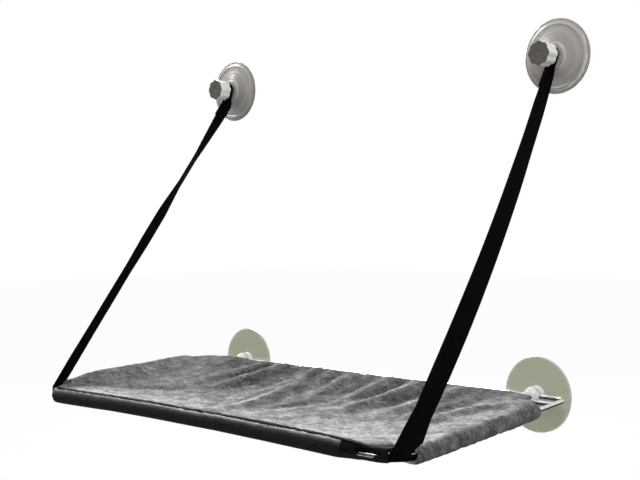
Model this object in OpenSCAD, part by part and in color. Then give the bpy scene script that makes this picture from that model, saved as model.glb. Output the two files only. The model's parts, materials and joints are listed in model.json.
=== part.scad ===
// Window perch: a wire frame with a plush cover, hinged on two suction cups and hung by two straps
// from two more. The glass is the plane y = 0, +z is up, and the origin lies midway between the lower cups.

/* [Suction cups] */
// Diameter of an upper cup
upper_cup_d = 80; // [70:1:90]
// Diameter of a lower cup
lower_cup_d = 83; // [74:1:88]
// Mean distance from a side rod of the frame in to the lower cup beside it
hub_inset = 51; // [48:1:60]
// How much further out an upper cup is than the lower cup below it
upper_outset = 24; // [10:1:35]
// Height of the upper cup centres above the lower ones
cup_rise = 363; // [330:1:420]
// Thickness of an upper cup's rim
upper_rim_t = 1.8; // [1.4:0.1:2.4]
// Thickness of a lower cup's rim
lower_rim_t = 2.4; // [1.8:0.1:3]
// Depth of the hollow under a cup
cavity_h = 1; // [0.6:0.1:1.4]
// Width of the flat lip that touches the glass
lip_w = 4; // [3:0.5:6]
// Diameter of the raised collar on an upper cup
collar_d = 27; // [22:1:32]
// Height of the collar's end above the glass
collar_h = 11.5; // [10.5:0.5:13]
// Diameter of the ball hub on a lower cup
hub_d = 20; // [17:0.5:22]

/* [Studs and knobs] */
// Diameter of the threaded stud
stud_d = 6; // [5:0.5:6.5]
// Diameter of the stud's moulded-in head
stud_head_d = 18; // [15:1:20]
// Thickness of the stud's head
stud_head_t = 2; // [1.5:0.1:2.5]
// Length of thread that the insert grips
thread_grip = 8; // [6:0.5:10]
// Diameter of a knob across its lobes
knob_d = 26; // [24:0.5:30]
// Length of a knob
knob_len = 17; // [15:0.5:20]
// Number of lobes round a knob
knob_lobes = 8; // [6:1:10]
// Diameter of the insert in a knob
insert_d = 10; // [9:0.5:12]
// Diameter of the washer behind a knob
washer_d = 18; // [14:1:22]
// Thickness of the washer
washer_t = 1.4; // [1:0.1:2]

/* [Wire frame] */
// Diameter of the frame's rod
rod_d = 5; // [4:0.25:6]
// Distance between the centres of the side rods
frame_w = 562; // [556:1:600]
// Distance between the centres of the rear and front rods
frame_depth = 271; // [240:1:310]
// Sideways place of the frame's middle
frame_shift = -9; // [-9:1:9]
// Centre radius of the front bends
front_bend = 30; // [24:1:36]
// Centre radius of the rear bends
rear_bend = 11; // [9:1:14]
// Distance of the crossbar in front of the rear rod
crossbar_in = 25; // [24:1:30]
// Height of the rear rod's centre off the glass
rod_off = 12; // [11:0.5:14]
// How far the frame leans down to the front
lean = 4.6; // [0:0.1:6]

/* [Cover] */
// Thickness of the plush panel
plush_t = 5; // [3:0.5:6]
// Thickness of the nylon backing
backing_t = 1; // [0.8:0.1:1.4]
// Thickness of the wrapped part of a side or rear flap
flap_t = 3; // [2:0.5:4]
// Thickness of the front sleeve
sleeve_t = 4; // [3:0.5:5]
// Thickness of a flap's tail under the panel
tail_t = 1.6; // [1.2:0.1:2]
// Width of a flap's tail
tail_w = 30; // [26:1:30]
// Sag of the panel's middle below the rods
sag = 18; // [8:1:24]
// Extra height of the loose plush over the left side rod, at the front
ridge_h = 11; // [0:1:14]
// Width of that loose ridge
ridge_w = 44; // [30:1:60]
// Height of the panel's main folds
fold_h = 4; // [0:0.5:5]
// Distance from the crest of a main fold to its foot
fold_w = 15; // [12:1:22]
// Bare rod between the left front corner and the sleeve
sleeve_gap_left = 29; // [29:1:50]
// Bare rod between the right front corner and the sleeve
sleeve_gap_right = 48; // [36:1:60]
// Bare crossbar between a side rod and the rear flap
rear_gap = 31; // [31:1:45]
// Distance from the rear rod to a side flap
side_gap_rear = 52; // [44:1:70]
// Distance from the front rod to a side flap
side_gap_front = 34; // [34:1:42]
// Width of a hook or loop strip
strip_w = 18; // [14:1:20]
// Thickness of a hook or loop strip
strip_t = 1; // [0.8:0.1:1.4]

/* [Straps] */
// Width of the webbing
strap_w = 25; // [20:1:28]
// Thickness of the webbing
strap_t = 1.5; // [1.2:0.1:2]
// Width of the gathered webbing on the stud
gather_w = 6.4; // [5:0.2:8]
// Length of the upper loop below the stud
loop_drop = 18; // [16:1:24]
// Slack of the right strap, measured across its chord
slack = 12; // [0:1:20]
// Length of webbing doubled back and sewn down at each end
sewn_l = 24; // [16:1:34]
// Distance from the frame's corner to the lower end of that doubled length
corner_drop = 14; // [12:1:20]

/* [Hidden] */
$fn = 64;

// Clearances
soft_gap = 0.3;
thread_gap = 0.05;
pivot_gap = 0.08;
face_gap = 0.1;
over = 1;

// Places along a stud, measured off the glass
stud_head_base = 4.2;
loop_base = collar_h + soft_gap;
washer_base = loop_base + gather_w + soft_gap;
knob_base = washer_base + washer_t + face_gap;
stud_end = knob_base + thread_grip;

// Frame
rod_r = rod_d / 2;
x_left = frame_shift - frame_w / 2;
x_right = frame_shift + frame_w / 2;
lower_spacing = frame_w - 2 * hub_inset;
upper_spacing = lower_spacing + 2 * upper_outset;

// Cover lines
wrap_r = rod_r + soft_gap;
front_x0 = x_left + sleeve_gap_left;
front_x1 = x_right - sleeve_gap_right;
rear_x0 = x_left + rear_gap;
rear_x1 = x_right - rear_gap;
side_s0 = side_gap_rear;
side_s1 = frame_depth - side_gap_front;
mid_s = (crossbar_in + frame_depth) / 2;
half_s = (frame_depth - crossbar_in) / 2;
backing_in = rod_d + soft_gap;
closure_drop = backing_t + 2 * strip_t + 4 * soft_gap;
strip_in = (tail_w - strip_w) / 2 + rod_d;
across_steps = 30;
along_steps = 18;
deep_steps = 9;
arc_steps = 6;
tail_steps = 4;
strap_steps = 20;
loop_steps = 10;
width_steps = 6;

// Webbing round the stud and round the frame's corner: radius of its middle
stud_loop_r = stud_d / 2 + soft_gap + strap_t / 2;
corner_loop_r = wrap_r + strap_t / 2;

// Main folds of the plush: both ends as shares of the frame's half width and of its depth, and the height share
fold_shares = [
    [-0.58, 0.43, -0.49, 0.09, 0.8],
    [-0.47, 0.43, -0.38, 0.09, 0.8],
    [-0.36, 0.47, -0.29, 0.14, -0.6],
    [-0.20, 0.87, -0.24, 0.11, -0.5],
    [-0.15, 0.87, -0.16, 0.10, 1.0],
    [0.17, 0.39, 0.20, 0.11, 0.5],
    [0.25, 0.38, 0.29, 0.11, -0.5],
    [0.27, 0.58, 0.40, 0.12, 0.8],
    [0.41, 0.47, 0.50, 0.14, -0.5],
    [0.52, 0.50, 0.61, 0.15, 0.6],
    [0.69, 0.54, 0.77, 0.19, -0.4],
    [0.75, 0.66, 0.93, 0.24, 0.6]
];
// The left ridge is lower at the back and at its front end: its heights there as shares of its full height
ridge_back_share = 0.2;
ridge_end_share = 0.5;
// Corners of the panel are drawn in towards its middle: how far, as shares of the bare rod beside them
front_corner_share = 0.63;
rear_corner_share = 0.3;

// Straps: width, and turn of the width away from +x in degrees, at even steps from the stud to the corner
width_shares = [0.28, 0.8, 1, 1, 1, 1, 1, 1, 1, 1, 1];
// Width of the end that is sewn down by the corner, as a share of the webbing's width
corner_end_share = 0.7;
turns_left = [92, 116, 130, 130, 116, 115, 120, 119, 119, 117, 120];
turns_right = [92, 95, 97, 93, 91, 89, 87, 86, 87, 90, 70];
corner_turn = 50;
corner_span = 54;

// Colours
clear_pvc = [0.51, 0.49, 0.47, 0.8];
green_pvc = [0.6, 0.6, 0.52, 0.8];

// Cups

module from_glass() { rotate([90, 0, 0]) children(); }

module at_upper(side) {
    translate([side * upper_spacing / 2, 0, cup_rise]) from_glass() children();
}

module at_lower(side) {
    translate([side * lower_spacing / 2, 0, 0]) from_glass() children();
}

module upper_cup(side) {
    rim = upper_cup_d / 2;
    rise = collar_h - upper_rim_t;
    color(clear_pvc) at_upper(side) difference() {
        rotate_extrude() polygon([
            [0, cavity_h],
            [rim - 2 * lip_w, cavity_h],
            [rim - lip_w, 0],
            [rim - upper_rim_t / 4, 0],
            [rim, upper_rim_t / 3],
            [rim, upper_rim_t * 2 / 3],
            [rim - upper_rim_t / 4, upper_rim_t],
            [rim - lip_w * 0.6, upper_rim_t],
            [rim - lip_w * 0.8, upper_rim_t + rise * 0.08],
            [rim - lip_w * 1.6, upper_rim_t + rise * 0.2],
            [rim - lip_w * 1.8, upper_rim_t + rise * 0.17],
            [rim - lip_w * 2.8, upper_rim_t + rise * 0.28],
            [(rim + collar_d / 2) / 2, upper_rim_t + rise * 0.46],
            [collar_d / 2 + upper_rim_t, upper_rim_t + rise * 0.66],
            [collar_d / 2, upper_rim_t + rise * 0.74],
            [collar_d / 2, collar_h - upper_rim_t / 2],
            [collar_d / 2 - upper_rim_t / 2, collar_h],
            [0, collar_h]
        ]);
        translate([0, 0, stud_head_base]) cylinder(d = stud_head_d, h = stud_head_t);
        translate([0, 0, stud_head_base]) cylinder(d = stud_d, h = collar_h);
    }
}

module lower_cup(side) {
    rim = lower_cup_d / 2;
    neck = hub_d * 0.42;
    color(green_pvc) at_lower(side) difference() {
        union() {
            rotate_extrude() polygon([
                [0, cavity_h],
                [rim - 2 * lip_w, cavity_h],
                [rim - lip_w, 0],
                [rim - lower_rim_t / 4, 0],
                [rim, lower_rim_t / 4],
                [rim, lower_rim_t * 3 / 4],
                [rim - lower_rim_t / 4, lower_rim_t],
                [rim * 0.6, lower_rim_t * 1.25],
                [neck + lower_rim_t * 2, lower_rim_t * 1.55],
                [neck, lower_rim_t * 2.2],
                [neck, rod_off],
                [0, rod_off]
            ]);
            translate([0, 0, rod_off]) sphere(d = hub_d);
        }
        translate([0, 0, rod_off]) rotate([0, 90, 0])
            cylinder(d = rod_d + 2 * pivot_gap, h = hub_d + 2 * over, center = true);
        translate([0, hub_d / 2, rod_off])
            cube([hub_d + 2 * over, hub_d, rod_d * 0.6], center = true);
    }
}

// Studs, washers and knobs

module stud(side) {
    color("silver") at_upper(side) union() {
        translate([0, 0, stud_head_base]) cylinder(d = stud_head_d, h = stud_head_t);
        translate([0, 0, stud_head_base]) cylinder(d = stud_d, h = stud_end - stud_head_base);
    }
}

module washer(side) {
    color("gainsboro") at_upper(side) translate([0, 0, washer_base]) difference() {
        cylinder(d = washer_d, h = washer_t);
        translate([0, 0, -over]) cylinder(d = stud_d + 2 * soft_gap, h = washer_t + 2 * over);
    }
}

module knob_outline() {
    lobe = knob_d * 0.15;
    circle(d = knob_d * 0.88);
    for (i = [0 : knob_lobes - 1])
        rotate(i * 360 / knob_lobes) translate([knob_d / 2 - lobe, 0]) circle(r = lobe, $fn = 32);
}

module knob(side) {
    edge = knob_d * 0.04;
    color("whitesmoke") at_upper(side) translate([0, 0, knob_base]) difference() {
        intersection() {
            linear_extrude(knob_len) knob_outline();
            rotate_extrude() polygon([
                [0, 0],
                [knob_d / 2 - edge, 0],
                [knob_d / 2, edge],
                [knob_d / 2, knob_len - edge],
                [knob_d / 2 - edge, knob_len],
                [0, knob_len]
            ]);
        }
        translate([0, 0, -over]) cylinder(d = insert_d, h = thread_grip + face_gap + over);
        translate([0, 0, -over]) cylinder(d = stud_d + 4 * thread_gap, h = knob_len - knob_d * 0.16 + over);
    }
}

module knob_insert(side) {
    color("goldenrod") at_upper(side) translate([0, 0, knob_base + face_gap]) difference() {
        cylinder(d = insert_d, h = thread_grip);
        translate([0, 0, -over]) cylinder(d = stud_d + 2 * thread_gap, h = thread_grip + 2 * over);
    }
}

// Wire frame

module on_perch() {
    translate([0, -rod_off, 0]) rotate([lean, 0, 0]) children();
}

module rod(from, to) {
    run = to - from;
    turn = atan2(run.y, run.x);
    translate(from) rotate([0, 0, turn]) rotate([0, 90, 0]) cylinder(d = rod_d, h = norm(run));
}

module bend(centre, radius, from_angle) {
    translate(centre) rotate([0, 0, from_angle])
        rotate_extrude(angle = 90) translate([radius, 0]) circle(d = rod_d);
}

module frame_wire() {
    color("silver") on_perch() union() {
        rod([x_left + rear_bend, 0, 0], [x_right - rear_bend, 0, 0]);
        rod([x_left + front_bend, -frame_depth, 0], [x_right - front_bend, -frame_depth, 0]);
        rod([x_left, -frame_depth + front_bend, 0], [x_left, -rear_bend, 0]);
        rod([x_right, -frame_depth + front_bend, 0], [x_right, -rear_bend, 0]);
        bend([x_right - rear_bend, -rear_bend, 0], rear_bend, 0);
        bend([x_left + rear_bend, -rear_bend, 0], rear_bend, 90);
        bend([x_left + front_bend, -frame_depth + front_bend, 0], front_bend, 180);
        bend([x_right - front_bend, -frame_depth + front_bend, 0], front_bend, 270);
    }
}

module crossbar() {
    start = rod_r * 0.3;
    color("silver") on_perch() difference() {
        rod([x_left + start, -crossbar_in, 0], [x_right - start, -crossbar_in, 0]);
        rod([x_left, -frame_depth, 0], [x_left, 0, 0]);
        rod([x_right, -frame_depth, 0], [x_right, 0, 0]);
    }
}

// Cover surfaces, in the frame's own plane: x across and s forwards from the rear rod

function bump(t) = abs(t) < 1 ? (1 + cos(180 * t)) / 2 : 0;

// Underside of the panel without its loose ridge
function base_z(x, s) =
    let(u = min(1, abs(x - frame_shift) / (frame_w / 2)), v = min(1, abs(s - mid_s) / half_s))
    wrap_r - sag * (1 - pow(u, 2.5)) * (1 - v * v);

function ridge_z(x, s) =
    let(climb = ridge_back_share + (1 - ridge_back_share) * s / frame_depth,
        close = 1 - (1 - ridge_end_share) * bump((s - side_s1) / ridge_w))
    ridge_h * climb * close * bump((x - x_left) / ridge_w);

function near_line(p, a, b) =
    let(run = b - a, t = max(0, min(1, (p - a) * run / (run * run))), off = norm(p - a - t * run))
    bump(off / fold_w) * (0.3 + 0.7 * sin(180 * t));

function total(list, from) = from < len(list) ? list[from] + total(list, from + 1) : 0;

function fold_z(x, s) =
    let(heights = [for (f = fold_shares)
        f[4] * near_line([x, s],
            [frame_shift + f[0] * frame_w / 2, f[1] * frame_depth],
            [frame_shift + f[2] * frame_w / 2, f[3] * frame_depth])])
    fold_h * total(heights, 0);

function even(from, to, steps) = [for (i = [0 : steps]) from + (to - from) * i / steps];

function grid_x(edge) = concat(
    [x_left + edge], even(min(front_x0, rear_x0), max(front_x0, rear_x0), 1),
    even(max(front_x0, rear_x0) + ridge_w / 2, min(front_x1, rear_x1) - ridge_w / 2, across_steps),
    even(min(front_x1, rear_x1), max(front_x1, rear_x1), 1), [x_right - edge]);

function grid_s(edge) = concat(
    [crossbar_in + edge], even(side_s0, side_s1, deep_steps),
    [(side_s1 + frame_depth) / 2, frame_depth - edge]);

// A point of the panel, drawn in towards its middle where it lies in a corner
function drawn(x, s, edge) =
    let(x0 = s > side_s1 ? front_x0 : rear_x0,
        x1 = s > side_s1 ? front_x1 : rear_x1,
        inner_x = min(max(x, x0), x1),
        inner_s = min(max(s, side_s0), side_s1),
        u = (inner_x - x) / ((x < x0 ? x0 - x_left : x_right - x1) - edge),
        v = (inner_s - s) / ((s < side_s0 ? side_s0 - crossbar_in : frame_depth - side_s1) - edge),
        share = abs(u * v) * (s > side_s1 ? front_corner_share : rear_corner_share))
    [x, s] + ([inner_x, inner_s] - [x, s]) * share;

// Rows of points over the panel, with their heights from the function given
function rows_over(edge, height) = [for (x = grid_x(edge)) [for (s = grid_s(edge))
    let(p = drawn(x, s, edge)) [p.x, -p.y, height(p.x, p.y)]]];

// A closed sheet between two grids of points, its cells split the other way in the first half, so that the
// drawn-in corners of the panel don't fold over
module sheet(top, under) {
    m = len(top);
    n = len(top[0]);
    function at(i, j) = i * n + j;
    function below(i, j) = m * n + i * n + j;
    function quad(a, b, c, d) = [[a, b, c], [a, c, d]];
    function split(i, a, b, c, d) = i < (m - 1) / 2 ? quad(b, c, d, a) : quad(a, b, c, d);
    faces = [for (i = [0 : m - 2]) for (j = [0 : n - 2]) each concat(
        split(i, at(i, j), at(i + 1, j), at(i + 1, j + 1), at(i, j + 1)),
        split(i, below(i, j), below(i, j + 1), below(i + 1, j + 1), below(i + 1, j)),
        i > 0 ? [] : quad(at(i, j), at(i, j + 1), below(i, j + 1), below(i, j)),
        i < m - 2 ? [] : quad(at(i + 1, j), below(i + 1, j), below(i + 1, j + 1), at(i + 1, j + 1)),
        j > 0 ? [] : quad(at(i, j), below(i, j), below(i + 1, j), at(i + 1, j)),
        j < n - 2 ? [] : quad(at(i, j + 1), at(i + 1, j + 1), below(i + 1, j + 1), below(i, j + 1))
    )];
    polyhedron(points = concat([for (row = top) each row], [for (row = under) each row]), faces = faces);
}

module plush_panel() {
    under = rows_over(0, function(x, s) base_z(x, s) + ridge_z(x, s));
    top = rows_over(0, function(x, s) base_z(x, s) + ridge_z(x, s) + plush_t + fold_z(x, s));
    color("dimgray") on_perch() sheet(top, under);
}

module backing_panel() {
    top = rows_over(backing_in, function(x, s) base_z(x, s) - soft_gap);
    under = rows_over(backing_in, function(x, s) base_z(x, s) - soft_gap - backing_t);
    color([0.06, 0.06, 0.07]) on_perch() sheet(top, under);
}

// A point beside one edge: along the rod, inwards from its centre, and up
function beside(edge, along, inward, up) =
    edge == "front" ? [along, -(frame_depth - inward), up] :
    edge == "rear" ? [along, -(crossbar_in + inward), up] :
    edge == "left" ? [x_left + inward, -along, up] :
    [x_right - inward, -along, up];

function base_beside(edge, along, inward) =
    let(p = beside(edge, along, inward, 0)) base_z(p.x, -p.y);

function loose(edge, along) = edge == "left" ? ridge_z(x_left, along) : 0;

function tail_z(edge, along, inward) =
    min(-wrap_r, base_beside(edge, along, inward) - closure_drop);

// Section of a flap: down the outside of the rod and inwards under the panel
function flap_row(edge, along, thick, outer) = concat(
    [for (k = [0 : arc_steps])
        let(a = 90 + 180 * k / arc_steps, r = wrap_r + (outer ? thick : 0), up = a < 180 ? loose(edge, along) : 0)
        beside(edge, along, r * cos(a), (r + up) * sin(a))],
    [for (k = [1 : tail_steps])
        let(d = tail_w * k / tail_steps)
        beside(edge, along, d, tail_z(edge, along, d) - (outer ? tail_t : 0))]);

module flap(edge, stations, thick, turned) {
    outer = [for (a = stations) flap_row(edge, a, thick, true)];
    inner = [for (a = stations) flap_row(edge, a, thick, false)];
    if (turned) sheet(inner, outer);
    else sheet(outer, inner);
}

module strip(edge, stations, drop, turned) {
    rows = even(strip_in, strip_in + strip_w, 2);
    top = [for (a = stations) [for (d = rows) beside(edge, a, d, base_beside(edge, a, d) - drop)]];
    under = [for (a = stations) [for (d = rows) beside(edge, a, d, base_beside(edge, a, d) - drop - strip_t)]];
    if (turned) sheet(top, under);
    else sheet(under, top);
}

function stations(edge) =
    edge == "front" ? even(front_x0, front_x1, along_steps) :
    edge == "rear" ? even(rear_x0, rear_x1, along_steps) :
    even(side_s0, side_s1, deep_steps);

function is_turned(edge) = edge == "rear" || edge == "right";

module front_sleeve() {
    color([0.05, 0.05, 0.05]) on_perch() flap("front", stations("front"), sleeve_t, is_turned("front"));
}

module rear_flap() {
    color("dimgray") on_perch() flap("rear", stations("rear"), flap_t, is_turned("rear"));
}

module side_flap(edge) {
    color("dimgray") on_perch() flap(edge, stations(edge), flap_t, is_turned(edge));
}

module loop_strip(edge) {
    color([0.1, 0.1, 0.1]) on_perch()
        strip(edge, stations(edge), backing_t + 2 * soft_gap, is_turned(edge));
}

module hook_strip(edge) {
    color([0.12, 0.12, 0.12]) on_perch()
        strip(edge, stations(edge), backing_t + strip_t + 3 * soft_gap, is_turned(edge));
}

// Straps

function unit(v) = v / norm(v);

function leaned(v) = [v.x, v.y * cos(lean) - v.z * sin(lean), v.y * sin(lean) + v.z * cos(lean)];

// A point on the middle of the webbing round a corner: turn along the bend, and angle up from outwards
function round_corner(side, turn, angle) =
    let(outward = [side * sin(turn), -cos(turn), 0],
        centre = [side > 0 ? x_right - front_bend : x_left + front_bend, -(frame_depth - front_bend), 0])
    [0, -rod_off, 0] + leaned(centre + outward * (front_bend + corner_loop_r * cos(angle))
        + [0, 0, corner_loop_r * sin(angle)]);

function loop_centre(side) = [side * upper_spacing / 2, -(loop_base + gather_w / 2), cup_rise];

function strap_head(side) = loop_centre(side) - [0, 0, loop_drop];

// Angle up from outwards at which the strap touches the corner's bend
function meet_angle(side) =
    let(run = round_corner(side, corner_turn, 0) - strap_head(side))
    atan2(run * leaned([side * sin(corner_turn), -cos(corner_turn), 0]), -run * leaned([0, 0, 1]));

function strap_foot(side) = round_corner(side, corner_turn, meet_angle(side));

// A value at the share t of a list
function along_list(list, t) =
    let(p = t * (len(list) - 1), i = min(floor(p), len(list) - 2)) list[i] + (list[i + 1] - list[i]) * (p - i);

// Places across the webbing, from one edge at -1 to the other at 1
function widthways() = even(-1, 1, width_steps);

// A row of points across the webbing at the share t of its run, moved off its face and narrowed
function run_row(side, t, off, narrow) =
    let(head = strap_head(side),
        span = strap_foot(side) - head,
        run = unit(span),
        fall = unit([0, -run.z, run.y]),
        droop = side > 0 ? slack : 0,
        turn = along_list(side > 0 ? turns_right : turns_left, t),
        w = [cos(turn), sin(turn), 0],
        across = unit(w - (w * run) * run),
        width = strap_w * narrow * along_list(width_shares, t))
    [for (j = widthways())
        head + span * t + fall * droop * sin(180 * t) + across * width * j / 2 + cross(run, across) * off];

// The webbing's middle, from the sewn end by the stud to the sewn end by the corner
function strap_rows(side) =
    let(long = norm(strap_foot(side) - strap_head(side)),
        doubled = strap_t + soft_gap,
        lift = asin(stud_loop_r / loop_drop),
        meet = meet_angle(side),
        wrap = 180 + atan2(2 * corner_loop_r - doubled, corner_drop))
    concat(
        [for (t = even(sewn_l, 0, 2)) run_row(side, t / long, -doubled, 1)],
        [for (a = even(180 + lift, -lift, loop_steps)) [for (j = widthways())
            loop_centre(side) + [stud_loop_r * cos(a), j * gather_w / 2, stud_loop_r * sin(a)]]],
        [for (k = [0 : strap_steps - 1]) run_row(side, k / strap_steps, 0, 1)],
        [for (u = even(0, 1, loop_steps))
            let(span = corner_span * (1 + u * (corner_end_share - 1)))
            [for (j = widthways()) round_corner(side, corner_turn + j * span / 2, meet - wrap * u)]],
        [for (t = even(corner_drop, corner_drop + sewn_l, 2))
            run_row(side, 1 - t / long, -side * doubled, corner_end_share)]);

module strap(side) {
    rows = strap_rows(side);
    function normal_at(i, j) = unit(cross(
        rows[min(i + 1, len(rows) - 1)][j] - rows[max(i - 1, 0)][j],
        rows[i][min(j + 1, width_steps)] - rows[i][max(j - 1, 0)]));
    function face(way) = [for (i = [0 : len(rows) - 1]) [for (j = [0 : width_steps])
        rows[i][j] + normal_at(i, j) * way * strap_t / 2]];
    color([0.04, 0.04, 0.04]) sheet(face(-1), face(1));
}

upper_cup(-1);  // upper_cup_left
upper_cup(1);  // upper_cup_right
stud(-1);  // stud_left
stud(1);  // stud_right
strap(-1);  // strap_left
strap(1);  // strap_right
lower_cup(-1);  // lower_cup_left
lower_cup(1);  // lower_cup_right
washer(-1);  // washer_left
washer(1);  // washer_right
knob(-1);  // knob_left
knob(1);  // knob_right
knob_insert(-1);  // knob_insert_left
knob_insert(1);  // knob_insert_right
frame_wire();
crossbar();
plush_panel();
backing_panel();
front_sleeve();
rear_flap();
side_flap("left");  // side_flap_left
side_flap("right");  // side_flap_right
hook_strip("front");  // hook_strip_front
hook_strip("rear");  // hook_strip_rear
hook_strip("left");  // hook_strip_left
hook_strip("right");  // hook_strip_right
loop_strip("front");  // loop_strip_front
loop_strip("rear");  // loop_strip_rear
loop_strip("left");  // loop_strip_left
loop_strip("right");  // loop_strip_right
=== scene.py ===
import json
import math

import bpy
import numpy as np
from mathutils import Matrix, Vector, noise


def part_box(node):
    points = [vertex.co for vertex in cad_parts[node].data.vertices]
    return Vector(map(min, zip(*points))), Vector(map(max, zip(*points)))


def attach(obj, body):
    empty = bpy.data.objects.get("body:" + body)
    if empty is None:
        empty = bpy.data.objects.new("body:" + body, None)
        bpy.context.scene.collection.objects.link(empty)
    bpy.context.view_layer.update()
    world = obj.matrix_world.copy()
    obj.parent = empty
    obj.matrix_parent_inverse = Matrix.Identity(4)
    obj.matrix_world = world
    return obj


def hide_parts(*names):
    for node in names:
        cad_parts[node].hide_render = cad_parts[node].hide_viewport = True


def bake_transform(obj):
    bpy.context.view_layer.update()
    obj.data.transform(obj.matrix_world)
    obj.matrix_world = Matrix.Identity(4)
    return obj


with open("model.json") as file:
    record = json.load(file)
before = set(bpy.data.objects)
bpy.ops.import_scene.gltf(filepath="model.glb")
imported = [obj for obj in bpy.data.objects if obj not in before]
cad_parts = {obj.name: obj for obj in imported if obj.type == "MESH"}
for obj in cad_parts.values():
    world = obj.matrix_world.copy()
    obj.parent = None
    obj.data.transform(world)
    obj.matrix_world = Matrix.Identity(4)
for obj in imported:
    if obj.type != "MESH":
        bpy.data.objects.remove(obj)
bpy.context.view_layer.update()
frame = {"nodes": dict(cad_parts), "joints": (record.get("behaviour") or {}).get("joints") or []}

# The camera stands in the room, right of the perch and level with the middle of its straps, and looks
# along the glass to the left. The lens is in millimetres on a sensor 36 mm wide.
camera_place = Vector((0.9357, -1.0803, 0.2005))
camera_yaw = math.radians(-43.70)
camera_pitch = math.radians(-1.436)
camera_roll = math.radians(-0.313)
camera_lens = 66.07

ahead = Vector((math.sin(camera_yaw) * math.cos(camera_pitch),
                math.cos(camera_yaw) * math.cos(camera_pitch), math.sin(camera_pitch)))
level_right = Vector((math.cos(camera_yaw), -math.sin(camera_yaw), 0))
level_up = level_right.cross(ahead)
camera_right = math.cos(camera_roll) * level_right + math.sin(camera_roll) * level_up
camera_up = math.cos(camera_roll) * level_up - math.sin(camera_roll) * level_right
camera_data = bpy.data.cameras.new("camera")
camera_data.lens = camera_lens
camera_data.sensor_width = 36
camera = bpy.data.objects.new("camera", camera_data)
camera.matrix_world = Matrix((camera_right, camera_up, -ahead)).transposed().to_4x4()
camera.location = camera_place
bpy.context.scene.collection.objects.link(camera)
bpy.context.scene.camera = camera
bpy.context.scene.view_settings.view_transform = "Standard"


# The room: a pale floor well below the perch, a white surround that is brighter on the window's side
# than on the room's, and three broad lamps: beyond the window, high on the left and high on the right.
def put_node(tree, kind, values=None, **settings):
    """A new node with its settings, and with values or links on its inputs."""
    made = tree.nodes.new(kind)
    for name, value in settings.items():
        setattr(made, name, value)
    for name, value in (values or {}).items():
        if isinstance(value, bpy.types.NodeSocket):
            tree.links.new(value, made.inputs[name])
        else:
            made.inputs[name].default_value = value
    return made


def maths(tree, operation, *values, clamp=False):
    """One sum on numbers or sockets."""
    made = put_node(tree, "ShaderNodeMath", dict(enumerate(values)), operation=operation, use_clamp=clamp)
    return made.outputs[0]


def weighed(tree, *parts):
    """The sum of some sockets, each times its share."""
    total = None
    for value, share in parts:
        part = maths(tree, "MULTIPLY", value, share)
        total = part if total is None else maths(tree, "ADD", total, part)
    return total


floor_drop = 0.34
floor_size = 14
floor_squares = 8
glow_share = 0.97
dark_in_metal = 0.95
bpy.ops.object.select_all(action="DESELECT")
bpy.ops.mesh.primitive_grid_add(x_subdivisions=floor_squares, y_subdivisions=floor_squares,
                                size=floor_size, location=(0, 0, -floor_drop))
floor = bpy.context.active_object
floor.name = "floor"
floor_material = bpy.data.materials.new("floor_paint")
floor_material.use_nodes = True
tree = floor_material.node_tree
paint = tree.nodes["Principled BSDF"]
paint.inputs["Base Color"].default_value = (0.45, 0.45, 0.45, 1)
paint.inputs["Roughness"].default_value = 0.9
paint.inputs["Specular IOR Level"].default_value = 0.1

# The floor glows white where it is seen, and is dark only in what metal and gloss mirror of it
rays = put_node(tree, "ShaderNodeLightPath").outputs
mirrored = maths(tree, "SUBTRACT", rays["Is Glossy Ray"], rays["Is Transmission Ray"], clamp=True)
pale = maths(tree, "SUBTRACT", 1.0, maths(tree, "MULTIPLY", mirrored, dark_in_metal))
white = put_node(tree, "ShaderNodeEmission", {"Color": (1, 1, 1, 1), "Strength": pale})
seen = maths(tree, "MAXIMUM", rays["Is Camera Ray"], rays["Is Transmission Ray"])
seen = maths(tree, "MAXIMUM", seen, rays["Is Glossy Ray"])
mixed = put_node(tree, "ShaderNodeMixShader", {0: maths(tree, "MULTIPLY", seen, glow_share),
                                               1: paint.outputs[0], 2: white.outputs[0]})
tree.links.new(mixed.outputs[0], tree.nodes["Material Output"].inputs["Surface"])
floor.data.materials.append(floor_material)

# The surround lights the perch from the window's side, has more contrast in gloss, and is seen as white
window_level, room_level = 0.42, 0.14
gloss_window_level, gloss_room_level = 1.0, 0.03
world = bpy.data.worlds.new("surround")
world.use_nodes = True
bpy.context.scene.world = world
tree = world.node_tree
direction = put_node(tree, "ShaderNodeTexCoord").outputs["Generated"]
split = put_node(tree, "ShaderNodeSeparateXYZ", {0: direction})
tilt = weighed(tree, (split.outputs["Y"], 0.7), (split.outputs["Z"], 0.6))
lit = put_node(tree, "ShaderNodeMapRange", {"Value": tilt, "From Min": -0.7, "From Max": 0.7,
                                            "To Min": room_level, "To Max": window_level})
glossy = put_node(tree, "ShaderNodeMapRange", {"Value": tilt, "From Min": -0.4, "From Max": 0.3,
                                               "To Min": gloss_room_level, "To Max": gloss_window_level})
rays = put_node(tree, "ShaderNodeLightPath").outputs
seen = maths(tree, "MAXIMUM", rays["Is Camera Ray"], rays["Is Transmission Ray"])
level = put_node(tree, "ShaderNodeMix", {0: rays["Is Glossy Ray"], 2: lit.outputs[0],
                                         3: glossy.outputs[0]}, data_type="FLOAT")
level = put_node(tree, "ShaderNodeMix", {0: seen, 2: level.outputs[0], 3: 1.0}, data_type="FLOAT")
tree.links.new(level.outputs[0], tree.nodes["Background"].inputs["Strength"])
tree.nodes["Background"].inputs["Color"].default_value = (1, 1, 1, 1)


def hang_lamp(name, place, aim, size, power):
    """A square soft lamp that points at a place."""
    data = bpy.data.lights.new(name, "AREA")
    data.size = size
    data.energy = power
    lamp = bpy.data.objects.new(name, data)
    lamp.location = place
    lamp.rotation_euler = (Vector(aim) - Vector(place)).to_track_quat("-Z", "Y").to_euler()
    bpy.context.scene.collection.objects.link(lamp)


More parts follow.
